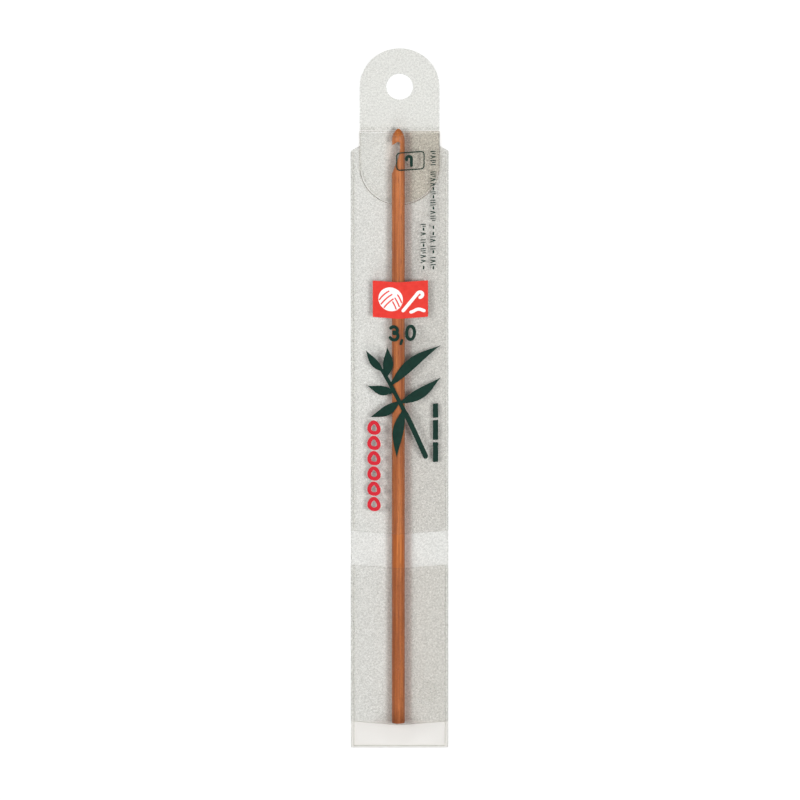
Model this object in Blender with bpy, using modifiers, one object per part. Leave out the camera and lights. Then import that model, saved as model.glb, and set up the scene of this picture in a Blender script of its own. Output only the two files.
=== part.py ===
"""Bamboo crochet hook in its clear retail sleeve, lying flat on its back.

Metres. +Z is the front of the sleeve, +Y runs along it to the hang tab, +X is to the right.
The origin is at the middle of the sleeve's outline, on the surface that it lies on.
The sleeve is a flat back sheet with two front sheets welded to its edges. They stand over the
hook like a tent and leave a window between them. A creased strip closes the mouth: its tongue
is tucked in behind the hook, and its other half is the hang tab.
"""

from math import asin, atan2, cos, hypot, pi, radians, sin

import bmesh
import bpy
from mathutils import Vector

MM = 0.001

# Sleeve outline. Distances named _UP are measured from its bottom edge.
OVERALL_LENGTH = 176.5 * MM
SLEEVE_WIDTH = 24.0 * MM
STRIP_WIDTH = 19.5 * MM  # tongue, neck and hang tab
SHOULDER_UP = 150.7 * MM
NECK_UP = 152.0 * MM
MOUTH_UP = 155.3 * MM
CREASE_UP = 155.9 * MM
TONGUE_CENTRE_UP = 147.0 * MM
HOLE_UP = 166.9 * MM
HOLE_DIAMETER = 6.6 * MM

# Front sheets.
UPPER_SHEET_UP = 55.0 * MM
LOWER_SHEET_TOP_UP = 46.3 * MM
RIDGE_UP = 6.7 * MM  # where the lower sheet folds down to the bottom weld
BOTTOM_WELD_UP = 0.9 * MM
SIDE_WELD_WIDTH = 0.8 * MM

# Film.
FILM = 0.20 * MM
GAP = 0.15 * MM  # between pieces that touch on the real object
CREASE_GAP = 0.30 * MM  # across the living hinge

# Hook.
HOOK_DIAMETER = 3.2 * MM
HOOK_LENGTH = 150.0 * MM
HOOK_END_UP = 6.8 * MM
HOOK_X = -0.3 * MM
NOSE_LENGTH = 2.9 * MM
NOSE_FULLNESS = 0.72  # exponent of the nose curve, where 0.5 is an ellipse and 1 a cone
TIP_RADIUS = 0.18 * MM
END_BEVEL = 0.25 * MM
LIP_DOWN = 4.1 * MM  # tip of the hook to the point of its lip
NOTCH_DOWN = 3.0 * MM  # tip of the hook to the top of its throat
NECK_START_DOWN = 5.2 * MM
NECK_END_DOWN = 11.3 * MM
NECK_THICKNESS = 1.2 * MM
NOTCH_RADIUS = 0.5 * MM
NOTCH_ANGLE = radians(125)  # where the arc round the notch leaves the lip's underside
SLOPE_POWER = 1.5  # of the scooped slope below the neck, where 1 is a straight slope
SLOPE_OVERSHOOT = 1.2  # how far the cut runs on past the hook's surface

# Smoothness.
HOOK_SIDES = 40
NOSE_STEPS = 8
ARC_STEPS = 24
HOLE_STEPS = 40
CROWN_STEPS = 6
NOTCH_STEPS = 6
SLOPE_STEPS = 8

# Heights of the stack, from the surface up.
STRIP_Z = FILM + GAP
HOOK_Z = STRIP_Z + FILM + GAP + HOOK_DIAMETER / 2
FLANGE_Z = FILM + GAP
BOTTOM_Y = -OVERALL_LENGTH / 2


def clear_scene():
    for obj in list(bpy.data.objects):
        bpy.data.objects.remove(obj)


def new_collection(name):
    collection = bpy.data.collections.new(name)
    bpy.context.scene.collection.children.link(collection)
    return collection


def make_material(name, colour, roughness, alpha=1.0):
    material = bpy.data.materials.new(name)
    material.use_nodes = True
    shader = material.node_tree.nodes["Principled BSDF"]
    shader.inputs["Base Color"].default_value = (*colour, 1.0)
    shader.inputs["Roughness"].default_value = roughness
    shader.inputs["Alpha"].default_value = alpha
    material.diffuse_color = (*colour, alpha)
    return material


def film_material(name, colour):
    return make_material(name, colour, roughness=0.2, alpha=0.35)


def arc(centre, radius, start, end, steps):
    """Points of an arc in a plane, from angle start to angle end, both ends included."""
    angles = [start + (end - start) * i / steps for i in range(steps + 1)]
    return [(centre[0] + radius * cos(a), centre[1] + radius * sin(a)) for a in angles]


def add_object(name, data, collection, material=None):
    obj = bpy.data.objects.new(name, data)
    collection.objects.link(obj)
    if material is not None:
        data.materials.append(material)
    return obj


def add_plate(name, outlines, thickness, z, collection, material=None):
    """A flat plate with closed outlines in the XY plane, holes included, standing on height z."""
    curve = bpy.data.curves.new(name, "CURVE")
    curve.dimensions = "2D"
    curve.fill_mode = "BOTH"
    curve.extrude = thickness / 2
    for outline in outlines:
        spline = curve.splines.new("POLY")
        spline.points.add(len(outline) - 1)
        for point, (x, y) in zip(spline.points, outline):
            point.co = (x, y, 0.0, 1.0)
        spline.use_cyclic_u = True
    plate = add_object(name, curve, collection, material)
    plate.location.z = z + thickness / 2
    return plate


def plate_to_mesh(plate, collection, weld=1e-6):
    """Replaces a curve plate with a closed mesh in the same place."""
    bpy.context.view_layer.update()
    graph = bpy.context.evaluated_depsgraph_get()
    mesh = bpy.data.meshes.new_from_object(plate.evaluated_get(graph))
    bm = bmesh.new()
    bm.from_mesh(mesh)
    bmesh.ops.remove_doubles(bm, verts=bm.verts, dist=weld)
    bm.to_mesh(mesh)
    bm.free()
    solid = bpy.data.objects.new(plate.name, mesh)
    solid.matrix_world = plate.matrix_world.copy()
    name = plate.name
    bpy.data.objects.remove(plate)
    solid.name = name
    collection.objects.link(solid)
    return solid


def make_cutter(outline, height, z, name, collection):
    plate = add_plate(name, [outline], height, z, collection)
    cutter = plate_to_mesh(plate, collection)
    cutter.hide_render = True
    cutter.display_type = "WIRE"
    return cutter


def add_boolean(obj, cutter, operation):
    modifier = obj.modifiers.new(cutter.name, "BOOLEAN")
    modifier.operation = operation
    modifier.solver = "EXACT"
    modifier.object = cutter


def sleeve_outline():
    """Outline of the sleeve: straight sides, slanting shoulders and a neck up to the mouth."""
    right = [
        (SLEEVE_WIDTH / 2, BOTTOM_Y),
        (SLEEVE_WIDTH / 2, BOTTOM_Y + SHOULDER_UP),
        (STRIP_WIDTH / 2, BOTTOM_Y + NECK_UP),
        (STRIP_WIDTH / 2, BOTTOM_Y + MOUTH_UP),
    ]
    return right + [(-x, y) for x, y in reversed(right)]


def make_back_sheet(parts):
    material = film_material("clear_film_back", (0.80, 0.82, 0.78))
    return add_plate("back_sheet", [sleeve_outline()], FILM, 0.0, parts, material)


def make_tongue(parts):
    """The half of the strip that is tucked in behind the hook, with a half-round end."""
    half = STRIP_WIDTH / 2
    top = BOTTOM_Y + CREASE_UP - CREASE_GAP / 2
    centre = (0.0, BOTTOM_Y + TONGUE_CENTRE_UP)
    outline = arc(centre, half, -pi, 0.0, ARC_STEPS) + [(half, top), (-half, top)]
    material = film_material("clear_film_tongue", (0.78, 0.80, 0.76))
    return add_plate("tuck_tongue", [outline], FILM, STRIP_Z, parts, material)


def make_hang_tab(parts):
    """The half of the strip that stands out of the mouth, with the hang hole.

    Its parent is an empty on the crease, so the tab folds about that line.
    """
    half = STRIP_WIDTH / 2
    crease_y = BOTTOM_Y + CREASE_UP
    bottom = CREASE_GAP / 2
    centre = (0.0, OVERALL_LENGTH / 2 - half - crease_y)
    hole_centre = (0.0, HOLE_UP - CREASE_UP)
    outline = arc(centre, half, 0.0, pi, ARC_STEPS) + [(-half, bottom), (half, bottom)]
    hole = arc(hole_centre, HOLE_DIAMETER / 2, 0.0, 2 * pi, HOLE_STEPS)[:-1]
    material = film_material("clear_film_tab", (0.80, 0.82, 0.78))
    tab = add_plate("hang_tab", [outline, hole], FILM, -FILM / 2, parts, material)
    crease = bpy.data.objects.new("crease_axis", None)
    crease.location = (0.0, crease_y, STRIP_Z + FILM / 2)
    parts.objects.link(crease)
    tab.parent = crease
    return tab


def tent_profile():
    """Cross-section of a front sheet's underside, from its left edge to its right edge.

    Flat weld flanges, then straight slopes that meet an arc round the hook as tangents.
    """
    radius = HOOK_DIAMETER / 2 + GAP
    edge = SLEEVE_WIDTH / 2
    foot = edge - SIDE_WELD_WIDTH
    rise = HOOK_Z - FLANGE_Z

    def slope_angle(run):
        return atan2(rise, run) + asin(radius / hypot(run, rise))

    left_angle = slope_angle(HOOK_X + foot)
    right_angle = slope_angle(foot - HOOK_X)
    crown = arc(
        (HOOK_X, HOOK_Z),
        radius,
        pi / 2 + left_angle,
        pi / 2 - right_angle,
        CROWN_STEPS,
    )
    left_side = [(-edge, FLANGE_Z), (-foot, FLANGE_Z)]
    right_side = [(foot, FLANGE_Z), (edge, FLANGE_Z)]
    return left_side + crown + right_side


def add_front_sheet(name, stations, parts, material):
    """A sheet with the tent profile, as an open surface thickened outwards.

    Each station is a distance up the sleeve and the share of the tent's full height there.
    """
    profile = tent_profile()
    bm = bmesh.new()
    bmesh.ops.create_grid(
        bm, x_segments=len(profile) - 1, y_segments=len(stations) - 1, size=1.0
    )
    for vert in bm.verts:
        x, z = profile[round((vert.co.x + 1) / 2 * (len(profile) - 1))]
        up, share = stations[round((vert.co.y + 1) / 2 * (len(stations) - 1))]
        vert.co = Vector((x, BOTTOM_Y + up, FLANGE_Z + (z - FLANGE_Z) * share))
    mesh = bpy.data.meshes.new(name)
    bm.to_mesh(mesh)
    bm.free()
    sheet = add_object(name, mesh, parts, material)
    solidify = sheet.modifiers.new("film", "SOLIDIFY")
    solidify.thickness = FILM
    solidify.offset = 1.0
    solidify.use_even_offset = True
    return sheet


def make_upper_sheet(parts, cutters):
    """The printed front sheet. Its upper corners are trimmed to the sleeve's shoulders."""
    material = film_material("clear_film_upper", (0.74, 0.75, 0.71))
    stations = [(UPPER_SHEET_UP, 1.0), (MOUTH_UP, 1.0)]
    sheet = add_front_sheet("upper_front_sheet", stations, parts, material)
    margin = 1.0 * MM
    half_width = SLEEVE_WIDTH / 2 + margin
    half_neck = STRIP_WIDTH / 2
    shoulder = BOTTOM_Y + SHOULDER_UP
    neck = BOTTOM_Y + NECK_UP
    slope = (NECK_UP - SHOULDER_UP) / (half_width - margin - half_neck)
    top = BOTTOM_Y + MOUTH_UP + margin
    for side, side_name in ((-1, "left"), (1, "right")):
        outline = [
            (side * half_neck, top),
            (side * half_neck, neck),
            (side * half_width, shoulder - slope * margin),
            (side * half_width, top),
        ]
        height = HOOK_DIAMETER + 2 * margin
        cutter = make_cutter(
            outline, height, 0.0, f"{side_name}_shoulder_cutter", cutters
        )
        add_boolean(sheet, cutter, "DIFFERENCE")
    return sheet


def make_lower_sheet(parts):
    """The plain pocket that holds the hook's end and slopes down to the bottom weld."""
    material = film_material("clear_film_lower", (0.74, 0.75, 0.71))
    stations = [
        (0.0, 0.0),
        (BOTTOM_WELD_UP, 0.0),
        (RIDGE_UP, 1.0),
        (LOWER_SHEET_TOP_UP, 1.0),
    ]
    return add_front_sheet("lower_front_sheet", stations, parts, material)


def nose_radius(down):
    """Radius of the hook's nose at a distance down from its tip."""
    share = min(down / NOSE_LENGTH, 1.0)
    full = HOOK_DIAMETER / 2
    return TIP_RADIUS + (full - TIP_RADIUS) * sin(share * pi / 2) ** NOSE_FULLNESS


def hook_profile():
    """Half-profile of the hook before its throat is cut, from the tip down to the end."""
    radius = HOOK_DIAMETER / 2
    nose = [NOSE_LENGTH * i / NOSE_STEPS for i in range(NOSE_STEPS + 1)]
    points = [(0.0, 0.0)]
    points += [(nose_radius(down), -down) for down in nose]
    points += [
        (radius, -HOOK_LENGTH + END_BEVEL),
        (radius - END_BEVEL, -HOOK_LENGTH),
        (0.0, -HOOK_LENGTH),
    ]
    return points


def throat_outline():
    """Outline of the cut that makes the throat, open to the left, relative to the tip.

    It runs round the notch under the lip, down the neck, and out along a scooped slope.
    """
    radius = HOOK_DIAMETER / 2
    floor_x = radius - NECK_THICKNESS
    notch_centre = (floor_x - NOTCH_RADIUS, -NOTCH_DOWN - NOTCH_RADIUS)
    notch = arc(notch_centre, NOTCH_RADIUS, NOTCH_ANGLE, 0.0, NOTCH_STEPS)
    run = NECK_END_DOWN - NECK_START_DOWN
    slope = []
    for step in range(SLOPE_STEPS + 1):
        share = SLOPE_OVERSHOOT * step / SLOPE_STEPS
        x = floor_x - (radius + floor_x) * share**SLOPE_POWER
        slope.append((x, -NECK_START_DOWN - run * share))
    outside_x = slope[-1][0]
    lip_slant = (LIP_DOWN - NOTCH_DOWN) / (radius + floor_x)
    outside_lip = -LIP_DOWN - lip_slant * (-radius - outside_x)
    return notch + slope + [(outside_x, outside_lip), (-radius, -LIP_DOWN)]


def make_hook(parts, cutters):
    """The hook: a turned rod with a pointed nose, with the throat cut across its left side."""
    material = make_material("bamboo", (0.46, 0.15, 0.045), roughness=0.4)
    points = hook_profile()
    mesh = bpy.data.meshes.new("crochet_hook")
    edges = [(i, i + 1) for i in range(len(points) - 1)]
    mesh.from_pydata([(x, 0.0, z) for x, z in points], edges, [])
    hook = add_object("crochet_hook", mesh, parts, material)
    screw = hook.modifiers.new("turn", "SCREW")
    screw.axis = "Z"
    screw.steps = screw.render_steps = HOOK_SIDES
    screw.use_merge_vertices = True
    screw.merge_threshold = 1e-5
    screw.use_smooth_shade = True
    hook.rotation_euler.x = -pi / 2
    tip_y = BOTTOM_Y + HOOK_END_UP + HOOK_LENGTH
    hook.location = (HOOK_X, tip_y, HOOK_Z)
    outline = [(HOOK_X + x, tip_y + y) for x, y in throat_outline()]
    height = 2 * HOOK_DIAMETER
    cutter = make_cutter(
        outline, height, HOOK_Z - height / 2, "throat_cutter", cutters
    )
    add_boolean(hook, cutter, "DIFFERENCE")
    return hook


def main():
    clear_scene()
    parts = new_collection("crochet_hook_in_sleeve")
    cutters = new_collection("cutters")
    make_back_sheet(parts)
    make_tongue(parts)
    make_hang_tab(parts)
    make_hook(parts, cutters)
    make_upper_sheet(parts, cutters)
    make_lower_sheet(parts)
    bpy.context.view_layer.update()


main()
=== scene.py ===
"""Looks of a bamboo crochet hook in its clear sleeve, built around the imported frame.

Shapes are worked out in millimetres and become metres where a mesh is made.
"""

from math import asin, atan2, ceil, cos, hypot, pi, radians, sin, sqrt, tan

import bmesh
import bpy
import numpy as np
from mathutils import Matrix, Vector, geometry


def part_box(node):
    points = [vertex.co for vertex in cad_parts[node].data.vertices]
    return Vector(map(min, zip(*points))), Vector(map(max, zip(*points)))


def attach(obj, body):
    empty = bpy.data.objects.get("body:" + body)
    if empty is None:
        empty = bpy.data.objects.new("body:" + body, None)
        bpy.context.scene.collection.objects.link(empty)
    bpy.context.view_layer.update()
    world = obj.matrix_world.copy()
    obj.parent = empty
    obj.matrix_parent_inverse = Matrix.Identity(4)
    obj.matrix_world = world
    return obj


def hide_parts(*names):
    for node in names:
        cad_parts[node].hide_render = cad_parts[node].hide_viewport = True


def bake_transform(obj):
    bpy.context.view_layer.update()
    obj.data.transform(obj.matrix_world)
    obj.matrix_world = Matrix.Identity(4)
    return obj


MM = 0.001

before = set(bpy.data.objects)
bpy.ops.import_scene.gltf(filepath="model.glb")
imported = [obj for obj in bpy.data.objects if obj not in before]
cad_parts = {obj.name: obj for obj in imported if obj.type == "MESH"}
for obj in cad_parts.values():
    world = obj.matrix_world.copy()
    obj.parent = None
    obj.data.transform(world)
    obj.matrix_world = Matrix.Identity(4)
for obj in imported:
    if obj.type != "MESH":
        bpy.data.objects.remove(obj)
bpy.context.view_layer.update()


def box_mm(node):
    """A CAD node's box in millimetres."""
    low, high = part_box(node)
    return Vector(low) / MM, Vector(high) / MM


HOOK_LOW, HOOK_HIGH = box_mm("crochet_hook")
BACK_LOW, BACK_HIGH = box_mm("back_sheet")
UPPER_LOW, UPPER_HIGH = box_mm("upper_front_sheet")
LOWER_LOW, LOWER_HIGH = box_mm("lower_front_sheet")
TONGUE_LOW, TONGUE_HIGH = box_mm("tuck_tongue")
TAB_LOW, TAB_HIGH = box_mm("hang_tab")

# Sizes that follow from the frame.
FILM = BACK_HIGH.z - BACK_LOW.z
HALF_WIDTH = BACK_HIGH.x
HALF_STRIP = TAB_HIGH.x
BOTTOM_Y = BACK_LOW.y
HOOK_X = (HOOK_LOW.x + HOOK_HIGH.x) / 2
HOOK_Z = (HOOK_LOW.z + HOOK_HIGH.z) / 2
HOOK_RADIUS = (HOOK_HIGH.z - HOOK_LOW.z) / 2
HOOK_LENGTH = HOOK_HIGH.y - HOOK_LOW.y
FLANGE_Z = UPPER_LOW.z
CROWN_RADIUS = UPPER_HIGH.z - FILM - HOOK_Z

# Sizes of the CAD design that its boxes don't show.
SHOULDER_UP, NECK_UP = 150.7, 152.0
HOLE_UP, HOLE_RADIUS = 166.9, 3.3
SIDE_WELD, BOTTOM_WELD_UP, RIDGE_UP = 0.8, 0.9, 6.7
RIDGE_Y = BOTTOM_Y + RIDGE_UP
NOSE_LENGTH, NOSE_FULLNESS, TIP_RADIUS = 2.9, 0.72, 0.18
LIP_DOWN, NOTCH_DOWN, NECK_START, NECK_END = 4.1, 3.0, 5.2, 11.3
NECK_THICKNESS, NOTCH_RADIUS, SLOPE_POWER = 1.2, 0.5, 1.5

# Sizes that the looks choose, in millimetres.
CORNER_RADIUS = 0.35
EDGE_PROUD = 0.01
SEAM_INSET, SEAM_END_GAP = 0.72, 0.2
INK_THICKNESS, INK_LIFT, INK_LAYER = 0.012, 0.004, 0.0015
PANEL_LIFT = 0.018
RIPPLE_HEIGHT, CLEAR_OF_HOOK = 0.045, 1.2


# ---------------------------------------------------------------- shape tools


def arc(cx, cy, radius, start, end, steps):
    """Points from one angle to another, in degrees."""
    angles = np.radians(np.linspace(start, end, steps + 1))
    return [(cx + radius * cos(a), cy + radius * sin(a)) for a in angles]


def circle(cx, cy, radius, steps=48):
    """A closed circle without its last point, which would repeat the first."""
    return arc(cx, cy, radius, 0, 360, steps)[:-1]


def rounded(points, radius):
    """A closed outline with each corner replaced by a small curve."""
    steps = 5
    out = []
    for i, here in enumerate(points):
        before, after = Vector(points[i - 1]), Vector(points[(i + 1) % len(points)])
        here = Vector(here)
        start = here + (before - here).normalized() * radius
        end = here + (after - here).normalized() * radius
        for s in np.linspace(0, 1, steps + 1):
            out.append(tuple((1 - s) ** 2 * start + 2 * s * (1 - s) * here + s**2 * end))
    return out


def resample(points, step, closed=True):
    """Adds points along long edges, so that a line can follow a curved sheet."""
    out = []
    ends = points[1:] + points[:1] if closed else points[1:]
    for start, end in zip(points, ends):
        start, end = Vector(start), Vector(end)
        pieces = max(1, ceil((end - start).length / step))
        out += [tuple(start.lerp(end, k / pieces)) for k in range(pieces)]
    return out if closed else out + [tuple(points[-1])]


def stroke(points, width, closed=False):
    """Outlines of a line of constant width along points: one with round ends, or a closed band."""
    cap_steps = 6
    pts = [Vector(p) for p in points]
    count = len(pts)
    sides = ([], [])
    for i, p in enumerate(pts):
        before = pts[i - 1] if closed or i else p
        after = pts[(i + 1) % count] if closed or i < count - 1 else p
        along = (after - before).normalized()
        across = Vector((-along.y, along.x)) * width / 2
        sides[0].append(tuple(p + across))
        sides[1].append(tuple(p - across))
    if closed:
        return [sides[0], sides[1][::-1]]
    first, last = pts[1] - pts[0], pts[-1] - pts[-2]
    turn = np.degrees(atan2(last.y, last.x))
    end_cap = arc(*pts[-1], width / 2, turn + 90, turn - 90, cap_steps)[1:-1]
    turn = np.degrees(atan2(first.y, first.x))
    start_cap = arc(*pts[0], width / 2, turn - 90, turn - 270, cap_steps)[1:-1]
    return [sides[0] + end_cap + sides[1][::-1] + start_cap]


def inside(points, loops):
    """Which points lie inside the loops by the even-odd rule."""
    x, y = points[:, 0], points[:, 1]
    result = np.zeros(len(points), bool)
    for loop in loops:
        a = np.array(loop)
        b = np.roll(a, -1, axis=0)
        for (x0, y0), (x1, y1) in zip(a, b):
            crosses = (y0 > y) != (y1 > y)
            at = x0 + (y - y0) * (x1 - x0) / (y1 - y0 if y1 != y0 else 1.0)
            result ^= crosses & (x < at)
    return result


def new_object(name, mesh, *materials):
    obj = bpy.data.objects.new(name, mesh)
    bpy.context.scene.collection.objects.link(obj)
    for material in materials:
        mesh.materials.append(material)
    return obj


def closed_mesh(name, vertices, faces):
    """A mesh of these vertices and faces, with its normals pointing out."""
    mesh = bpy.data.meshes.new(name)
    mesh.from_pydata(vertices, [], faces)
    bm = bmesh.new()
    bm.from_mesh(mesh)
    bmesh.ops.recalc_face_normals(bm, faces=bm.faces)
    bm.to_mesh(mesh)
    bm.free()
    return mesh


def shade(mesh, sharp_degrees):
    mesh.shade_smooth()
    mesh.set_sharp_from_angle(angle=radians(sharp_degrees))


def mesh_from(name, vertices_mm, faces):
    mesh = closed_mesh(name, [tuple(c * MM for c in v) for v in vertices_mm], faces)
    shade(mesh, 40)
    return mesh


def sheet_data(loops, height, thickness, cell):
    """Vertices and faces of a closed sheet with these outlines, lying on height(x, y).

    Grid points a cell apart fill the outlines, except close to an edge. The surface between
    all these points is copied one thickness higher, and walls join the two along every rim.
    """
    edge_gap = 0.35 * min(cell)
    merge_distance = 1e-6
    loops = [resample(loop, max(cell)) for loop in loops]
    points, edges = [], []
    for loop in loops:
        first = len(points)
        points += loop
        edges += [(first + i, first + (i + 1) % len(loop)) for i in range(len(loop))]
    outline = np.array(points)
    low, high = outline.min(0), outline.max(0)
    xs = np.linspace(low[0], high[0], max(2, ceil((high[0] - low[0]) / cell[0])) + 1)
    ys = np.linspace(low[1], high[1], max(2, ceil((high[1] - low[1]) / cell[1])) + 1)
    grid = np.array([(x, y) for y in ys[1:-1] for x in xs[1:-1]])
    grid = grid[inside(grid, loops)] if len(grid) else grid
    if len(grid):
        gaps = [((outline - g) ** 2).sum(1).min() for g in grid]
        grid = grid[np.array(gaps) > edge_gap**2]
    free = [Vector(p) for p in points] + [Vector(g) for g in grid]
    cut = geometry.delaunay_2d_cdt(free, edges, [], 1, merge_distance)
    verts, faces = cut[0], cut[2]
    centres = np.array([sum((verts[i] for i in f), Vector((0, 0))) / len(f) for f in faces])
    keep = inside(centres, loops)
    faces = [tuple(f) for f, k in zip(faces, keep) if k]
    used = sorted({i for f in faces for i in f})
    index = {v: i for i, v in enumerate(used)}
    faces = [tuple(index[i] for i in f) for f in faces]
    flat = [verts[i] for i in used]
    count = len(flat)
    under = [(v.x, v.y, height(v.x, v.y)) for v in flat]
    over = [(x, y, z + thickness) for x, y, z in under]
    seen = {(f[i], f[(i + 1) % len(f)]) for f in faces for i in range(len(f))}
    rim = [(a, b) for a, b in seen if (b, a) not in seen]
    rim.sort()
    top = [tuple(i + count for i in f) for f in faces]
    bottom = [f[::-1] for f in faces]
    walls = [(b, a, a + count, b + count) for a, b in rim]
    return under + over, top + bottom + walls


def sheet(name, loops, height, thickness, cell, material):
    vertices, faces = sheet_data(loops, height, thickness, cell)
    return new_object(name, mesh_from(name, vertices, faces), material)


def bead_data(path, half_width, half_height, height, closed=True):
    """Vertices and faces of a low rounded ridge that runs along a path on a sheet."""
    sides = 8
    pts = [Vector(p) for p in path]
    count = len(pts)
    vertices = []
    for i, p in enumerate(pts):
        before = pts[i - 1] if closed or i else p
        after = pts[(i + 1) % count] if closed or i < count - 1 else p
        along = (after - before).normalized()
        across = Vector((-along.y, along.x))
        z = height(p.x, p.y)
        for k in range(sides):
            a = 2 * pi * k / sides
            q = p + across * half_width * cos(a)
            vertices.append((q.x, q.y, z + half_height * sin(a)))
    faces = []
    for i in range(count if closed else count - 1):
        j = (i + 1) % count
        for k in range(sides):
            m = (k + 1) % sides
            faces.append((i * sides + k, j * sides + k, j * sides + m, i * sides + m))
    if not closed:
        faces.append(tuple(range(sides)))
        faces.append(tuple(reversed(range((count - 1) * sides, count * sides))))
    return vertices, faces


def bead(name, path, half_width, half_height, height, material, closed=True, step=1.0):
    path = resample(path, step, closed)
    data = bead_data(path, half_width, half_height, height, closed)
    return new_object(name, mesh_from(name, *data), material)


def several(name, parts, material):
    """One object from several closed bodies, each given as its vertices and faces."""
    vertices, faces = [], []
    for part_vertices, part_faces in parts:
        first = len(vertices)
        vertices += part_vertices
        faces += [tuple(i + first for i in f) for f in part_faces]
    return new_object(name, mesh_from(name, vertices, faces), material)


# ---------------------------------------------------------------- materials


def node_tree(name):
    material = bpy.data.materials.new(name)
    material.use_nodes = True
    tree = material.node_tree
    tree.nodes.clear()
    output = tree.nodes.new("ShaderNodeOutputMaterial")
    return material, tree, output


def add(tree, kind, **values):
    """A new node. A value named after an input sets it, and any other sets a property."""
    node = tree.nodes.new(kind)
    inputs = {socket.name.lower().replace(" ", "_"): socket for socket in node.inputs}
    for key, value in values.items():
        if key in inputs:
            inputs[key].default_value = value
        else:
            setattr(node, key, value)
    return node


def link(tree, source, target):
    tree.links.new(source, target)


def place(tree, scale):
    """Object coordinates in metres, stretched by scale along each axis."""
    coords = add(tree, "ShaderNodeTexCoord")
    mapping = add(tree, "ShaderNodeMapping")
    mapping.inputs["Scale"].default_value = scale
    link(tree, coords.outputs["Object"], mapping.inputs["Vector"])
    return mapping.outputs["Vector"]


def noise(tree, vector, scale, detail=3.0, roughness=0.5):
    node = add(tree, "ShaderNodeTexNoise", scale=scale, detail=detail, roughness=roughness)
    link(tree, vector, node.inputs["Vector"])
    return node.outputs["Fac"]


def remap(tree, value, low, high, to_low=0.0, to_high=1.0):
    node = add(tree, "ShaderNodeMapRange", clamp=True)
    node.inputs["From Min"].default_value = low
    node.inputs["From Max"].default_value = high
    node.inputs["To Min"].default_value = to_low
    node.inputs["To Max"].default_value = to_high
    link(tree, value, node.inputs["Value"])
    return node.outputs["Result"]


def ramp(tree, value, *stops):
    """A colour ramp with stops of (position, colour)."""
    node = add(tree, "ShaderNodeValToRGB")
    elements = node.color_ramp.elements
    while len(elements) < len(stops):
        elements.new(0.5)
    for element, (position, colour) in zip(elements, stops):
        element.position = position
        element.color = (*colour, 1.0)
    link(tree, value, node.inputs["Fac"])
    return node.outputs["Color"]


def bump(tree, value, distance, normal=None):
    node = add(tree, "ShaderNodeBump", strength=1.0, distance=distance)
    link(tree, value, node.inputs["Height"])
    if normal is not None:
        link(tree, normal, node.inputs["Normal"])
    return node.outputs["Normal"]


def calculate(tree, operation, a, b=None):
    """One operation on numbers or sockets."""
    node = add(tree, "ShaderNodeMath", operation=operation)
    for socket, value in zip(node.inputs, (a, b)):
        if isinstance(value, (int, float)):
            socket.default_value = value
        elif value is not None:
            link(tree, value, socket)
    return node.outputs[0]


def mix(tree, blend, factor, a, b):
    """Colours a and b blended. Each value is a number, a colour or a socket."""
    node = add(tree, "ShaderNodeMix", data_type="RGBA", blend_type=blend)
    sockets = [node.inputs[0], node.inputs[6], node.inputs[7]]
    for socket, value in zip(sockets, (factor, a, b)):
        if isinstance(value, (int, float)):
            socket.default_value = value
        elif isinstance(value, tuple):
            socket.default_value = (*value, 1.0)
        else:
            link(tree, value, socket)
    return node.outputs[2]


def masked(tree, colour, mask, factor):
    """The colour times a factor where the mask is 1."""
    return mix(tree, "MIX", mask, colour, mix(tree, "MULTIPLY", 1.0, colour, factor))


def reflectance(tree, normal, ior):
    """Schlick's reflectance, the same on both faces of a sheet that rays cross unbent."""
    angle = add(tree, "ShaderNodeLayerWeight", blend=0.5)
    link(tree, normal, angle.inputs["Normal"])
    steep = calculate(tree, "POWER", angle.outputs["Facing"], 5.0)
    head_on = ((ior - 1) / (ior + 1)) ** 2
    return remap(tree, steep, 0.0, 1.0, head_on, 1.0)


def remap_mm(tree, value, low, high, to_low=0.0, to_high=1.0):
    """A mask that changes between two places given in millimetres."""
    return remap(tree, value, low * MM, high * MM, to_low, to_high)


def right_shade_band(tree, across):
    """1 on the slope to the right of the hook, up to the weld, where the film gets a painted shade.
    """
    rise = remap_mm(tree, across, 0.0, 3.0)
    fall = remap_mm(tree, across, 10.7, 11.3, 1.0, 0.0)
    return calculate(tree, "MULTIPLY", rise, fall)


def paint_hook_shadow(tree, colour, across, off_hook):
    """A painted shadow of the hook in the film close to it, warmed by a painted reflection of the
    bamboo, and darker on its right.
    """
    beside = remap_mm(tree, off_hook, 1.7, 3.6, 1.0, 0.0)
    colour = masked(tree, colour, beside, (0.985, 0.967, 0.958))
    right_side = remap_mm(tree, across, HOOK_X + 1.7, HOOK_X + 1.9)
    deeper = calculate(tree, "MULTIPLY", beside, right_side)
    return masked(tree, colour, deeper, (0.945, 0.905, 0.905))


def paint_pucker_shade(tree, colour, along, off_hook):
    """Painted shade in the corners where the pocket puckers beside the hook's end."""
    beside = remap_mm(tree, off_hook, 1.2, 7.5, 1.0, 0.0)
    near = remap_mm(tree, along, RIDGE_Y, RIDGE_Y + 4.5, 1.0, 0.0)
    shaded_corner = remap(tree, calculate(tree, "ADD", beside, near), 0.95, 1.75)
    return masked(tree, colour, shaded_corner, (0.90, 0.885, 0.88))


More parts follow.
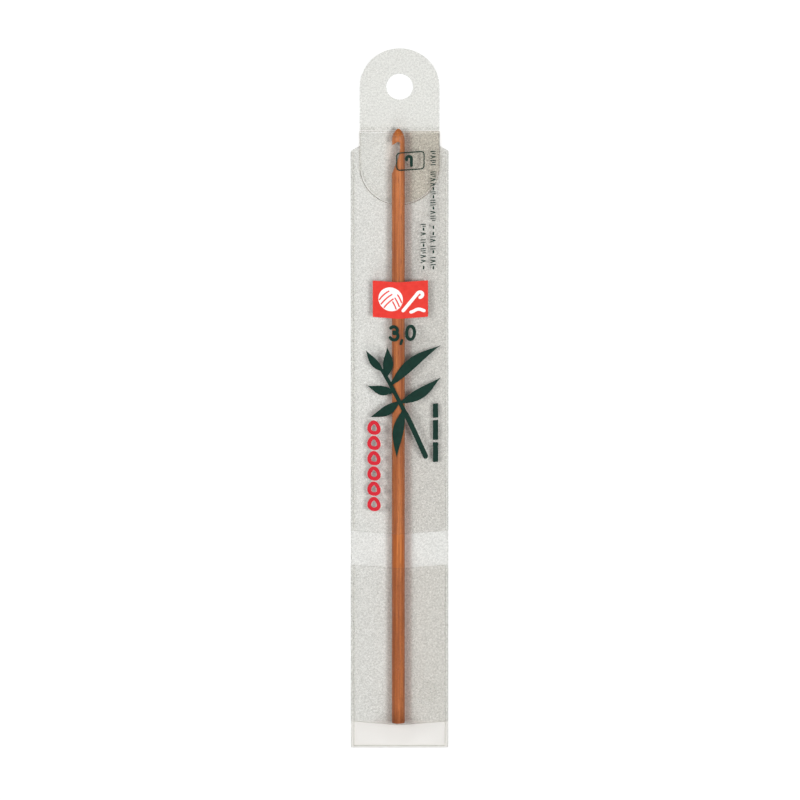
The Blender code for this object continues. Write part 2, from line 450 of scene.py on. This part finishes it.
def film_material(
    name, tint, haze=0.006, grain=0.03, ior=1.2, right=None, facet_glare=None, pucker_shade=False, hook_shadow_paint=False
):
    """Clear soft PVC with a leather-like emboss.

    tint is what one face lets through, haze the share of milky scatter and grain the mottle.
    right gives the dark and light factors of a painted shade, mottled like the grain, right of the
    hook, and the facet tint is a lighter painted glare below the pocket's ridge. The pucker and
    hook-shadow switches add painted shadows near the hook.
    """
    material, tree, output = node_tree(name)
    where = place(tree, (1, 1, 1))
    xyz = add(tree, "ShaderNodeSeparateXYZ")
    link(tree, where, xyz.inputs[0])
    across, along = xyz.outputs[0], xyz.outputs[1]
    fine = noise(tree, where, 2300, detail=2.0, roughness=0.6)
    broad = noise(tree, place(tree, (1, 0.6, 1)), 520, detail=3.0)
    normal = bump(tree, fine, 0.000012)
    normal = bump(tree, broad, 0.00003, normal=normal)
    low = tuple(c * (1 - grain) for c in tint)
    high = tuple(min(1.0, c * (1 + grain)) for c in tint)
    colour = mix(tree, "MIX", remap(tree, fine, 0.38, 0.62), low, high)
    # Painted shade on the slope right of the hook, mottled like the film's grain.
    if right is not None:
        mottle = ramp(tree, fine, (0.38, right[0]), (0.62, right[1]))
        colour = masked(tree, colour, right_shade_band(tree, across), mottle)
    off_hook = calculate(tree, "ABSOLUTE", calculate(tree, "SUBTRACT", HOOK_X * MM, across))
    # Painted shadow of the hook beside it, warmed by a painted reflection of the bamboo.
    if hook_shadow_paint:
        colour = paint_hook_shadow(tree, colour, across, off_hook)
    # Painted shade in the pocket's corners beside the hook's end.
    if pucker_shade:
        colour = paint_pucker_shade(tree, colour, along, off_hook)
    # A lighter tint painted below the pocket's ridge, as painted glare on its sloping end.
    if facet_glare is not None:
        below = remap_mm(tree, along, RIDGE_Y, RIDGE_Y - 0.2)
        colour = mix(tree, "MIX", below, colour, facet_glare)
    clear = add(tree, "ShaderNodeBsdfTransparent")
    link(tree, colour, clear.inputs["Color"])
    milky = add(tree, "ShaderNodeBsdfPrincipled", roughness=0.4)
    milky.inputs["Base Color"].default_value = (0.9, 0.9, 0.88, 1.0)
    link(tree, normal, milky.inputs["Normal"])
    shine = add(tree, "ShaderNodeBsdfGlossy", roughness=0.2)
    link(tree, normal, shine.inputs["Normal"])
    hazy = add(tree, "ShaderNodeMixShader")
    link(tree, remap(tree, broad, 0.3, 0.7, haze * 0.7, haze * 1.3), hazy.inputs[0])
    link(tree, clear.outputs[0], hazy.inputs[1])
    link(tree, milky.outputs[0], hazy.inputs[2])
    surface = add(tree, "ShaderNodeMixShader")
    link(tree, reflectance(tree, normal, ior), surface.inputs[0])
    link(tree, hazy.outputs[0], surface.inputs[1])
    link(tree, shine.outputs[0], surface.inputs[2])
    link(tree, surface.outputs[0], output.inputs["Surface"])
    return material


def ink_material(name, colour, patch):
    """Opaque screen print: slightly uneven, with a soft satin face."""
    material, tree, output = node_tree(name)
    where = place(tree, (1, 1, 1))
    cloud = noise(tree, where, 900, detail=4.0)
    speck = noise(tree, where, 5200, detail=2.0)
    shader = add(tree, "ShaderNodeBsdfPrincipled")
    tone = ramp(tree, cloud, (0.3, patch), (0.65, colour))
    link(tree, tone, shader.inputs["Base Color"])
    shader.inputs["Specular IOR Level"].default_value = 0.15
    link(tree, remap(tree, speck, 0.3, 0.7, 0.45, 0.65), shader.inputs["Roughness"])
    link(tree, bump(tree, speck, 0.000004), shader.inputs["Normal"])
    link(tree, shader.outputs[0], output.inputs["Surface"])
    return material


def bamboo_material():
    """Carbonised bamboo: long fine fibres, short dark bundles and a thin satin lacquer."""
    material, tree, output = node_tree("bamboo")
    fibre = noise(tree, place(tree, (5200, 120, 5200)), 1.0, detail=4.0, roughness=0.6)
    streak = noise(tree, place(tree, (1300, 22, 1300)), 1.0, detail=3.0)
    bundle = noise(tree, place(tree, (7600, 420, 7600)), 1.0, detail=2.0)
    broad = noise(tree, place(tree, (160, 30, 160)), 1.0, detail=2.0)
    wood = ramp(
        tree,
        streak,
        (0.28, (0.36, 0.090, 0.020)),
        (0.5, (0.52, 0.155, 0.038)),
        (0.74, (0.66, 0.235, 0.066)),
    )
    fine = ramp(tree, fibre, (0.32, (0.50, 0.44, 0.38)), (0.62, (1.08, 1.06, 1.02)))
    wood = mix(tree, "MULTIPLY", 0.6, wood, fine)
    dark = remap(tree, bundle, 0.60, 0.70, 0.0, 0.6)
    wood = mix(tree, "MIX", dark, wood, (0.16, 0.038, 0.012))
    tone = ramp(tree, broad, (0.3, (0.78, 0.73, 0.66)), (0.7, (1.0, 1.0, 1.0)))
    wood = mix(tree, "MULTIPLY", 1.0, wood, tone)
    shader = add(tree, "ShaderNodeBsdfPrincipled")
    shader.inputs["Specular IOR Level"].default_value = 0.2
    shader.inputs["Coat Weight"].default_value = 0.16
    shader.inputs["Coat Roughness"].default_value = 0.24
    link(tree, wood, shader.inputs["Base Color"])
    link(tree, remap(tree, fibre, 0.3, 0.7, 0.42, 0.6), shader.inputs["Roughness"])
    normal = bump(tree, fibre, 0.000014)
    link(tree, bump(tree, bundle, 0.000008, normal=normal), shader.inputs["Normal"])
    link(tree, shader.outputs[0], output.inputs["Surface"])
    return material


def floor_material():
    material, tree, output = node_tree("pale_floor")
    shader = add(tree, "ShaderNodeBsdfPrincipled", roughness=0.7)
    shader.inputs["Base Color"].default_value = (0.92, 0.92, 0.92, 1.0)
    shader.inputs["Specular IOR Level"].default_value = 0.1
    link(tree, shader.outputs[0], output.inputs["Surface"])
    return material


# ---------------------------------------------------------------- heights of the film


def tent(x):
    """Underside of a front sheet where it stands over the hook: flange, slope and crown."""
    foot = HALF_WIDTH - SIDE_WELD
    if abs(x) >= foot:
        return FLANGE_Z
    off = x - HOOK_X
    run = foot - HOOK_X if off > 0 else foot + HOOK_X
    rise = HOOK_Z - FLANGE_Z
    slope = atan2(rise, run) + asin(CROWN_RADIUS / hypot(run, rise))
    if abs(off) < CROWN_RADIUS * sin(slope):
        return HOOK_Z + sqrt(CROWN_RADIUS**2 - off**2)
    return FLANGE_Z + (run - abs(off)) * tan(slope)


def ripple(x, y):
    """A little unevenness on the free slopes of a front sheet."""
    foot = HALF_WIDTH - SIDE_WELD
    free = min(1.0, max(0.0, (abs(x - HOOK_X) - CLEAR_OF_HOOK) / 2))
    near = max(0.0, 1 - abs(x) / foot) * free
    wave = sin(0.31 * y + 0.5 * x) + 0.7 * sin(0.83 * y - 0.9 * x + 1.3)
    return RIPPLE_HEIGHT * near * wave


def upper_height(x, y):
    return tent(x) + ripple(x, y)


def lower_height(x, y):
    """The pocket's underside. Below its ridge it slopes down to the bottom weld."""
    up = y - BOTTOM_Y
    share = min(1.0, max(0.0, (up - BOTTOM_WELD_UP) / (RIDGE_UP - BOTTOM_WELD_UP)))
    return FLANGE_Z + (tent(x) - FLANGE_Z) * share + ripple(x, y) * share


def level(z):
    """A flat height."""
    return lambda x, y: z


def above(height, amount):
    """A height raised by an amount."""
    return lambda x, y: height(x, y) + amount


# ---------------------------------------------------------------- the hook


def nose_radius(down):
    """The head's radius at a distance down from its tip."""
    share = min(down / NOSE_LENGTH, 1.0)
    return TIP_RADIUS + (HOOK_RADIUS - TIP_RADIUS) * sin(share * pi / 2) ** NOSE_FULLNESS


def throat_outline():
    """The cut that makes the throat, in the plane through the hook, down from its tip."""
    floor_x = HOOK_RADIUS - NECK_THICKNESS
    notch = arc(floor_x - NOTCH_RADIUS, -NOTCH_DOWN - NOTCH_RADIUS, NOTCH_RADIUS, 125, 0, 10)
    slope = []
    for share in np.linspace(0, 1.2, 19):
        x = floor_x - (HOOK_RADIUS + floor_x) * share**SLOPE_POWER
        slope.append((x, -NECK_START - (NECK_END - NECK_START) * share))
    far_x = slope[-1][0]
    slant = (LIP_DOWN - NOTCH_DOWN) / (HOOK_RADIUS + floor_x)
    lip = [(far_x, -LIP_DOWN + slant * (far_x + HOOK_RADIUS)), (-HOOK_RADIUS, -LIP_DOWN)]
    return notch + slope + lip


def extruded(name, outline, half_depth):
    """A closed prism on an outline in the XY plane, in millimetres."""
    count = len(outline)
    low = [(x, y, -half_depth) for x, y in outline]
    high = [(x, y, half_depth) for x, y in outline]
    walls = [(i, (i + 1) % count, (i + 1) % count + count, i + count) for i in range(count)]
    faces = [tuple(reversed(range(count))), tuple(range(count, 2 * count))] + walls
    return new_object(name, closed_mesh(name, low + high, faces))


def turned(name, profile, sides):
    """A closed turned body round the Y axis from a profile of (radius, y), in millimetres."""
    vertices, faces = [], []
    for radius, y in profile:
        for k in range(sides):
            a = 2 * pi * k / sides
            vertices.append((radius * cos(a), y, radius * sin(a)))
    for i in range(len(profile) - 1):
        for k in range(sides):
            m = (k + 1) % sides
            faces.append((i * sides + k, (i + 1) * sides + k, (i + 1) * sides + m, i * sides + m))
    faces.append(tuple(range(sides)))
    faces.append(tuple(reversed(range((len(profile) - 1) * sides, len(profile) * sides))))
    return new_object(name, closed_mesh(name, vertices, faces))


def carved_head():
    """The hook's head, carved and then smoothed, cut open where the shaft goes on."""
    head_length, cut_at, voxel = 15.0, 13.5, 0.045
    cut_half_depth = 3.0
    plain_from = NECK_END + 0.9
    profile = [(nose_radius(d) * 0.999, -d) for d in np.linspace(0, NOSE_LENGTH, 24)]
    profile += [(HOOK_RADIUS, -d) for d in np.linspace(NOSE_LENGTH, head_length, 12)[1:]]
    head = turned("head_blank", profile, 96)
    cutter = extruded("throat_cut", throat_outline(), cut_half_depth)
    carve = head.modifiers.new("throat", "BOOLEAN")
    carve.object = cutter
    carve.operation = "DIFFERENCE"
    remesh = head.modifiers.new("even", "REMESH")
    remesh.mode = "VOXEL"
    remesh.voxel_size = voxel
    soften = head.modifiers.new("soften", "SMOOTH")
    soften.iterations = 7
    soften.factor = 0.5
    bpy.context.view_layer.update()
    graph = bpy.context.evaluated_depsgraph_get()
    mesh = bpy.data.meshes.new_from_object(head.evaluated_get(graph))
    bpy.data.objects.remove(head)
    bpy.data.objects.remove(cutter)
    bm = bmesh.new()
    bm.from_mesh(mesh)
    everything = bm.verts[:] + bm.edges[:] + bm.faces[:]
    bmesh.ops.bisect_plane(
        bm,
        geom=everything,
        dist=1e-5,
        plane_co=(0, -cut_at, 0),
        plane_no=(0, -1, 0),
        clear_outer=True,
    )
    for vert in bm.verts:
        if vert.co.y < -plain_from:
            reach = hypot(vert.co.x, vert.co.z)
            vert.co.x *= HOOK_RADIUS / reach
            vert.co.z *= HOOK_RADIUS / reach
    return bm


def make_hook(material):
    """The head with the shaft drawn out from its open rim, ring by ring, to a bevelled end."""
    bm = carved_head()
    rim = [e for e in bm.edges if e.is_boundary]
    shaft_start, end_zone = 14.5, 0.4
    stations = list(np.linspace(-shaft_start, -HOOK_LENGTH + end_zone, 60))
    bevel = [(0.12, 1.0), (0.05, 0.99), (0.015, 0.97), (0.0, 0.94)]
    for y in stations + [-HOOK_LENGTH + rise for rise, _ in bevel]:
        grown = bmesh.ops.extrude_edge_only(bm, edges=rim)["geom"]
        rim = [g for g in grown if isinstance(g, bmesh.types.BMEdge)]
        share = next((s for rise, s in bevel if abs(y + HOOK_LENGTH - rise) < 1e-6), 1.0)
        for vert in {v for e in rim for v in e.verts}:
            reach = hypot(vert.co.x, vert.co.z)
            size = HOOK_RADIUS * share / reach
            vert.co = (vert.co.x * size, y, vert.co.z * size)
    bmesh.ops.holes_fill(bm, edges=rim)
    bmesh.ops.recalc_face_normals(bm, faces=bm.faces)
    for vert in bm.verts:
        x, y, z = vert.co
        vert.co = Vector((HOOK_X + x, HOOK_HIGH.y + y, HOOK_Z + z)) * MM
    mesh = bpy.data.meshes.new("bamboo_hook")
    bm.to_mesh(mesh)
    bm.free()
    shade(mesh, 50)
    hook = new_object("bamboo_hook", mesh, material)
    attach(hook, "hook")
    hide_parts("crochet_hook")


# ---------------------------------------------------------------- the sleeve


def on_sleeve(obj, slot, *nodes):
    """Fixes a piece to the sleeve, in place of the CAD nodes named."""
    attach(obj, "sleeve")
    if nodes:
        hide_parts(*nodes)


def sleeve_outline(low_up):
    """Outline of a sheet from low_up to the mouth, with slanting shoulders and a neck."""
    low, shoulder = BOTTOM_Y + low_up, BOTTOM_Y + SHOULDER_UP
    neck, mouth = BOTTOM_Y + NECK_UP, BACK_HIGH.y
    right = [(HALF_WIDTH, low), (HALF_WIDTH, shoulder), (HALF_STRIP, neck), (HALF_STRIP, mouth)]
    return rounded(right + [(-x, y) for x, y in reversed(right)], CORNER_RADIUS)


def pocket_outline():
    top, bottom = LOWER_HIGH.y, BOTTOM_Y
    corners = [
        (HALF_WIDTH, bottom),
        (HALF_WIDTH, top),
        (-HALF_WIDTH, top),
        (-HALF_WIDTH, bottom),
    ]
    return rounded(corners, CORNER_RADIUS)


def make_sleeve(film_back, film_front, film_lower, weld, edge):
    """The back sheet and both front sheets, with their seams, fold and embossed rings."""
    outline = sleeve_outline(0.0)
    back = sheet("back_film", [outline], level(BACK_LOW.z), FILM, (1.2, 2.4), film_back)
    on_sleeve(back, "clear_film_back", "back_sheet")
    outline = sleeve_outline(UPPER_LOW.y - BOTTOM_Y)
    upper = sheet("upper_front_film", [outline], upper_height, FILM, (0.4, 1.2), film_front)
    on_sleeve(upper, "clear_film_front", "upper_front_sheet")
    outline = pocket_outline()
    lower = sheet("lower_front_film", [outline], lower_height, FILM, (0.4, 0.8), film_lower)
    on_sleeve(lower, "clear_film_front", "lower_front_sheet")
    make_seams(weld)
    ridge = [(x, RIDGE_Y) for x in np.linspace(-HALF_WIDTH + 0.5, HALF_WIDTH - 0.4, 90)]
    data = bead_data(ridge, 0.1, 0.05, above(lower_height, FILM), closed=False)
    on_sleeve(several("pocket_fold", [data], weld), "clear_film_front")
    make_emboss(edge)


def make_seams(weld):
    """The welds along both sides and the bottom, as low beads."""
    seam_x = HALF_WIDTH - SEAM_INSET
    seam_z = level(FLANGE_Z + FILM)
    bottom = BOTTOM_Y + 0.5
    spans = {
        "upper": (UPPER_LOW.y + SEAM_END_GAP, BOTTOM_Y + SHOULDER_UP - SEAM_END_GAP),
        "lower": (bottom, LOWER_HIGH.y - SEAM_END_GAP),
    }
    for side, side_name in ((-1, "left"), (1, "right")):
        for part, (low, high) in spans.items():
            path = [(side * seam_x, low), (side * seam_x, high)]
            seam = bead(f"{side_name}_{part}_weld", path, 0.13, 0.07, seam_z, weld, False, 4.0)
            on_sleeve(seam, "clear_film_front")
    path = [(-seam_x, bottom), (seam_x, bottom)]
    seam = bead("bottom_weld", path, 0.14, 0.07, seam_z, weld, False, 2.0)
    on_sleeve(seam, "clear_film_front")


def make_edges(edge):
    """The cut edges of the film, which catch the light as thin lines."""
    half_width = 0.06
    half_height = FILM / 2 + EDGE_PROUD
    upper_outline = sleeve_outline(UPPER_LOW.y - BOTTOM_Y)
    outlines = {
        "back_edge": (sleeve_outline(0.0), level(BACK_LOW.z + FILM / 2)),
        "upper_edge": (upper_outline, above(upper_height, FILM / 2)),
        "lower_edge": (pocket_outline(), above(lower_height, FILM / 2)),
    }
    for name, (outline, height) in outlines.items():
        inner = [(x * (1 - half_width / HALF_WIDTH), y) for x, y in outline]
        line = bead(name, inner, half_width, half_height, height, edge, step=0.5)
        on_sleeve(line, "clear_film_front")


def tongue_outline():
    centre_y = TONGUE_LOW.y + HALF_STRIP
    bottom = arc(0, centre_y, HALF_STRIP, -180, 0, 60)
    return bottom + [(HALF_STRIP, TONGUE_HIGH.y), (-HALF_STRIP, TONGUE_HIGH.y)]


def tab_outline():
    centre_y = TAB_HIGH.y - HALF_STRIP
    top = arc(0, centre_y, HALF_STRIP, 0, 180, 60)
    return top + [(-HALF_STRIP, TAB_LOW.y), (HALF_STRIP, TAB_LOW.y)]


def make_strip(film_tongue, film_tab, film_fold, edge, dark_edge, glint):
    """The creased strip: its tongue behind the hook, its fold, and the hang tab."""
    z = level(TONGUE_LOW.z)
    middle = level(TONGUE_LOW.z + FILM / 2)
    half_height = FILM / 2 + EDGE_PROUD
    outline = tongue_outline()
    tongue = sheet("tongue_film", [outline], z, FILM, (1.2, 1.2), film_tongue)
    on_sleeve(tongue, "clear_film_strip", "tuck_tongue")
    line = bead("tongue_edge", outline, 0.08, half_height, middle, dark_edge, step=0.5)
    on_sleeve(line, "clear_film_strip")
    centre_y = TONGUE_LOW.y + HALF_STRIP
    lit = arc(0, centre_y, HALF_STRIP - 0.28, -172, -8, 60)
    over = level(TONGUE_LOW.z + FILM)
    line = bead("tongue_glint", lit, 0.12, 0.05, over, glint, False, 0.5)
    on_sleeve(line, "clear_film_strip")
    rims = [tab_outline(), circle(0, BOTTOM_Y + HOLE_UP, HOLE_RADIUS, 72)]
    tab = sheet("hang_tab_film", rims, z, FILM, (1.2, 1.2), film_tab)
    parts = [bead_data(resample(rim, 0.5), 0.05, half_height, middle) for rim in rims]
    tab_edge = several("hang_tab_edge", parts, edge)
    for piece in (tab, tab_edge):
        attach(piece, "tab")
    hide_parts("hang_tab")
    make_crease(film_fold, edge)


def make_crease(film, edge):
    """The strip's fold: a low rounded roll that crosses from the tongue to the tab."""
    low, high = TONGUE_HIGH.y - 0.25, TAB_LOW.y + 0.75
    half = HALF_STRIP - 0.05
    thickness, blend_reach = 0.08, 0.25

    def roll(x, y):
        swell = sin(pi * min(1.0, max(0.0, (y - low) / (high - low))))
        return TONGUE_LOW.z + 0.02 + 0.16 * swell + 0.03 * sin(0.9 * x) * swell

    outline = [(-half, low), (half, low), (half, high), (-half, high)]
    band = sheet("crease_film", [outline], roll, thickness, (0.8, 0.12), film)
    fold_y = (TONGUE_HIGH.y + TAB_LOW.y) / 2
    line = [(x, fold_y - 0.4 + 0.1 * sin(0.8 * x)) for x in np.linspace(-half, half, 40)]
    data = bead_data(line, 0.09, 0.03, above(roll, thickness), closed=False)
    crease_line = several("crease_line", [data], edge)
    for piece in (band, crease_line):
        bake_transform(piece)


# ---------------------------------------------------------------- the print


def up(x, distance):
    """The point at x and at a distance up from the sleeve's bottom."""
    return (x, BOTTOM_Y + distance)


def leaf(base, angle, length, width, bend):
    """A pointed leaf whose blade swells past its middle."""
    base = Vector(up(*base))
    along = Vector((cos(radians(angle)), sin(radians(angle))))
    across = Vector((-along.y, along.x))
    sides = ([], [])
    for s in np.linspace(0, 1, 21):
        spine = base + along * length * s + across * bend * length * sin(pi * s)
        half = width / 2 * (0.16 * (1 - s) + 0.95 * sin(pi * s**0.85) ** 1.25)
        sides[0].append(tuple(spine + across * half))
        sides[1].append(tuple(spine - across * half))
    return sides[0] + sides[1][::-1][1:]


def printed(name, shapes, material, slot, lift=0.0):
    """Ink on the upper front sheet, in four thin layers so that shapes can cross."""
    parts = []
    for k, outlines in enumerate(shapes):
        height = above(upper_height, FILM + INK_LIFT + lift + INK_LAYER * (k % 4))
        parts.append(sheet_data(outlines, height, INK_THICKNESS, (0.45, 0.9)))
    on_sleeve(several(name, parts, material), slot)


def make_print(red, crimson, green, white):
    """Generic print: a yarn ball on a red panel, the size, a sprig, a chain and small marks."""
    left, right, low, high = -6.6, 7.0, 109.4, 118.6
    panel = rounded([up(left, low), up(right, low), up(right, high), up(left, high)], 0.25)
    printed("red_panel", [[panel]], red, "ink_red")
    make_yarn_ball(red, white)
    sign = [up(0.9, 111.4), up(4.5, 115.6)] + arc(*up(4.95, 115.1), 0.68, 138, -80, 10)
    sign = stroke(resample(sign, 0.4, False), 0.85)
    tail = [up(x, 111.2 + 0.3 * sin((x + 0.3) * 1.6)) for x in np.linspace(2.8, 6.0, 24)]
    printed("yarn_tail", [sign, stroke(tail, 0.8)], white, "ink_white", lift=PANEL_LIFT)
    make_size_number(green)
    make_sprig(green)
    make_chain(crimson)
    make_small_print(green)


def make_yarn_ball(red, white):
    """A white disc wound with red strands that run two ways."""
    x, y, radius = -2.2, 114.2, 3.0
    ball = circle(*up(x, y), radius)
    printed("yarn_ball", [[ball]], white, "ink_white", lift=PANEL_LIFT)
    middle = Vector(up(x, y))
    strands = []
    for turn, offset, first, last in (
        (40, 1.55, -1.0, 0.42),
        (40, 0.45, -1.0, 0.38),
        (40, -0.65, -1.0, 0.20),
        (-55, 1.75, 0.0, 1.0),
        (-55, 0.75, 0.12, 1.0),
        (-55, -0.25, 0.30, 1.0),
    ):
        axis = Vector((cos(radians(turn)), sin(radians(turn))))
        side = Vector((-axis.y, axis.x))
        half = sqrt(radius**2 - offset**2) - 0.3
        line = []
        for t in np.linspace(first, last, 12):
            line.append(tuple(middle + axis * half * t + side * (offset + 0.35 * (1 - t * t))))
        strands.append(stroke(line, 0.34))
    printed("yarn_winds", strands, red, "ink_red", lift=2 * PANEL_LIFT)


def make_size_number(green):
    """The hook's size in millimetres, 3.0, in plain strokes."""
    low, tall, weight = 103.6, 4.15, 0.8
    three_x, zero_x, zero_half_width = -1.42, 2.7, 0.98
    top_bowl = stroke(arc(*up(three_x, low + tall - 1.28), 0.88, 150, -90, 14), weight)
    low_bowl = stroke(arc(*up(three_x, low + 1.42), 1.02, 90, -150, 14), weight)
    zero = []
    for a in np.linspace(0, 2 * pi, 37)[:-1]:
        y = low + tall / 2 + (tall - weight) / 2 * sin(a)
        zero.append(up(zero_x + zero_half_width * cos(a), y))
    comma = stroke([up(0.62, low + 0.35), up(0.3, low - 0.55)], 0.66)
    shapes = [top_bowl, low_bowl, stroke(zero, weight, True), comma]
    printed("size_number", shapes, green, "ink_green")


def make_sprig(green):
    """Bamboo: a jointed cane with a leaning stem of pointed leaves beside it."""
    stem_low, stem_top = (6.4, 74.2), (-4.4, 96.4)

    def on_stem(share):
        x = stem_low[0] + (stem_top[0] - stem_low[0]) * share
        y = stem_low[1] + (stem_top[1] - stem_low[1]) * share
        return (x, y + 1.1 * sin(pi * share))

    # Share of the stem, angle, length, width and bend of each leaf.
    leaves = [
        (0.97, 130, 6.6, 1.9, 0.05),
        (0.90, 88, 7.6, 2.4, -0.05),
        (0.80, 37, 15.6, 2.7, 0.07),
        (0.72, 172, 6.6, 2.3, 0.07),
        (0.58, 30, 11.6, 2.6, -0.06),
        (0.60, 212, 8.6, 2.3, 0.06),
        (0.50, 262, 12.2, 2.6, -0.05),
    ]
    shapes = [[leaf(on_stem(s), *rest)] for s, *rest in leaves]
    for low, high in ((0.0, 0.22), (0.235, 0.45), (0.465, 0.98)):
        piece = [up(*on_stem(s)) for s in np.linspace(low, high, 12)]
        shapes.append(stroke(piece, 1.25 if low < 0.4 else 1.0))
    left, right = 8.2, 9.5
    for low, high in ((72.6, 77.6), (78.2, 83.2), (83.8, 87.4)):
        joint = [up(left, low), up(right, low), up(right, high), up(left, high)]
        shapes.append([rounded(joint, 0.2)])
    printed("leaf_sprig", shapes, green, "ink_green")


def make_chain(red):
    """A column of six plain chain stitches."""
    x, top, pitch = -6.3, 81.5, 3.86
    half_width, half_height, weight = 1.15, 1.35, 0.95
    shapes = []
    for k in range(6):
        centre = top - pitch * k
        loop = []
        for a in np.linspace(0, 2 * pi, 33)[:-1]:
            narrow = 1 - 0.25 * sin(a)
            loop.append(up(x + half_width * cos(a) * narrow, centre + half_height * sin(a)))
        shapes.append(stroke(loop, weight, True))
    printed("chain_stitches", shapes, red, "ink_red")


def small_marks(x, low, high, size, weight, seed):
    """A line of small abstract bars, chevrons and dots that runs up the sheet at x."""
    picks = np.random.RandomState(seed)
    left, right = x - size / 2, x + size / 2
    shapes, at = [], low
    while at < high - 0.5:
        kind = picks.randint(0, 5)
        if kind == 0:
            shapes.append(stroke([up(left, at), up(right, at)], weight))
            at += 0.6
        elif kind == 1:
            shapes.append(stroke([up(left, at), up(right, at + 0.32)], weight))
            shapes.append(stroke([up(right, at + 0.32), up(left, at + 0.64)], weight))
            at += 1.2
        elif kind == 2:
            shapes.append(stroke([up(x - 0.1, at), up(right, at)], weight))
            shapes.append(stroke([up(left, at + 0.5), up(right, at + 0.5)], weight))
            at += 1.05
        elif kind == 3:
            shapes.append(stroke([up(x + 0.1, at), up(x + 0.1, at + 0.5)], 1.6 * weight))
            at += 1.0
        else:
            at += 0.6
    return shapes


def make_small_print(green):
    """A rounded box with a plain hook sign, and lines of small marks."""
    corners = [up(-0.7, 146.75), up(6.0, 146.75), up(6.0, 151.1), up(-0.7, 151.1)]
    box = stroke(rounded(corners, 0.9), 0.3, True)
    sign = [up(2.9, 147.75), up(2.9, 149.45)] + arc(*up(2.3, 149.5), 0.6, 0, 200, 10)
    printed("sign_box", [box, stroke(sign, 0.75)], green, "ink_green")
    size, weight = 1.1, 0.24
    shapes = small_marks(8.2, 133.6, 151.3, size, weight, 3)
    shapes += small_marks(8.2, 121.4, 132.6, size, weight, 5)
    shapes += small_marks(5.8, 121.6, 133.0, size, weight, 8)
    printed("small_print", shapes, green, "ink_green")


def make_emboss(film):
    """Two plain rings pressed into the pocket."""
    centre = up(6.3, 14.3)
    over = above(lower_height, FILM - 0.01)
    parts = []
    for radius, half_width in ((2.75, 0.3), (1.5, 0.2)):
        parts.append(bead_data(circle(*centre, radius), half_width, 0.04, over))
    on_sleeve(several("embossed_ring", parts, film), "clear_film_front")


# ---------------------------------------------------------------- stage


def area_light(name, location, size, power):
    """A white square light that faces the object."""
    light = bpy.data.lights.new(name, "AREA")
    light.size = size
    light.energy = power
    obj = bpy.data.objects.new(name, light)
    obj.location = location
    obj.rotation_euler = (-Vector(location)).to_track_quat("-Z", "Y").to_euler()
    bpy.context.scene.collection.objects.link(obj)


def make_stage():
    """A plain pale floor, three soft lights over it, and the camera at the photo's angle."""
    bpy.ops.mesh.primitive_grid_add(x_subdivisions=4, y_subdivisions=4, size=6.0)
    floor = bpy.context.object
    floor.name = "floor"
    floor.location.z = -0.0001
    floor.data.materials.append(floor_material())
    world = bpy.data.worlds.new("studio")
    world.use_nodes = True
    background = world.node_tree.nodes["Background"]
    background.inputs["Color"].default_value = (1.0, 1.0, 1.0, 1.0)
    background.inputs["Strength"].default_value = 0.14
    scene = bpy.context.scene
    scene.world = world
    area_light("key", (0.40, 0.12, 0.85), 0.32, 5.2)
    area_light("side", (-0.54, 0.2, 0.8), 0.38, 5.0)
    area_light("low", (0.0, -0.8, 0.7), 0.5, 2.6)
    camera_data = bpy.data.cameras.new("camera")
    sensor, distance, tilt, view_width = 36.0, 5.5, radians(13), 0.1969
    camera_data.sensor_width = sensor
    camera_data.lens = sensor * distance / view_width
    camera = bpy.data.objects.new("camera", camera_data)
    target = Vector((0.0001, -0.0003, 0.0))
    camera.location = target + Vector((0, sin(tilt), cos(tilt))) * distance
    camera.rotation_euler = (-tilt, 0, 0)
    scene.collection.objects.link(camera)
    scene.camera = camera
    scene.view_settings.view_transform = "Standard"
    scene.cycles.transparent_max_bounces = 48


def main():
    make_stage()
    make_hook(bamboo_material())
    # Painted shadow beside the hook and a lighter painted glare below the pocket's ridge.
    film_back = film_material(
        "film_back",
        (0.914, 0.915, 0.907),
        grain=0.045,
        facet_glare=(0.944, 0.939, 0.932),
        hook_shadow_paint=True,
    )
    # Its darker right factors paint shade on the slope right of the hook.
    film_front = film_material(
        "film_front",
        (1.0, 1.0, 0.995),
        right=((0.938, 0.933, 0.928), (0.99, 0.985, 0.98)),
    )
    # Painted shade right of the hook, lighter painted glare below the ridge, painted shade in the
    # pocket's corners.
    film_lower = film_material(
        "film_lower",
        (0.986, 0.984, 0.977),
        grain=0.035,
        right=((0.968, 0.962, 0.957), (0.99, 0.986, 0.98)),
        facet_glare=(0.996, 0.996, 0.994),
        pucker_shade=True,
    )
    # Its darker right factors paint shade on the slope right of the hook.
    film_tongue = film_material(
        "film_tongue",
        (1.0, 1.0, 0.995),
        haze=0.002,
        grain=0.01,
        ior=1.12,
        right=((0.915, 0.9, 0.88), (0.995, 0.985, 0.965)),
    )
    film_tab = film_material("film_tab", (0.913, 0.914, 0.903), grain=0.045)
    film_fold = film_material("film_fold", (0.99, 0.99, 0.985), ior=1.12)
    weld = film_material("film_weld", (0.905, 0.902, 0.886), haze=0.04)
    edge = film_material("film_edge", (0.985, 0.985, 0.978), haze=0.02)
    dark_edge = film_material("film_dark_edge", (0.78, 0.76, 0.73), haze=0.03)
    glint = film_material("film_glint", (0.99, 0.99, 0.985), haze=0.45)
    make_sleeve(film_back, film_front, film_lower, weld, edge)
    make_edges(edge)
    make_strip(film_tongue, film_tab, film_fold, edge, dark_edge, glint)
    red = ink_material("ink_red", (0.76, 0.045, 0.032), (0.70, 0.036, 0.026))
    crimson = ink_material("ink_crimson", (0.62, 0.020, 0.036), (0.56, 0.016, 0.03))
    green = ink_material("ink_green", (0.003, 0.031, 0.021), (0.002, 0.022, 0.015))
    white = ink_material("ink_white", (0.93, 0.92, 0.90), (0.88, 0.87, 0.85))
    make_print(red, crimson, green, white)


main()
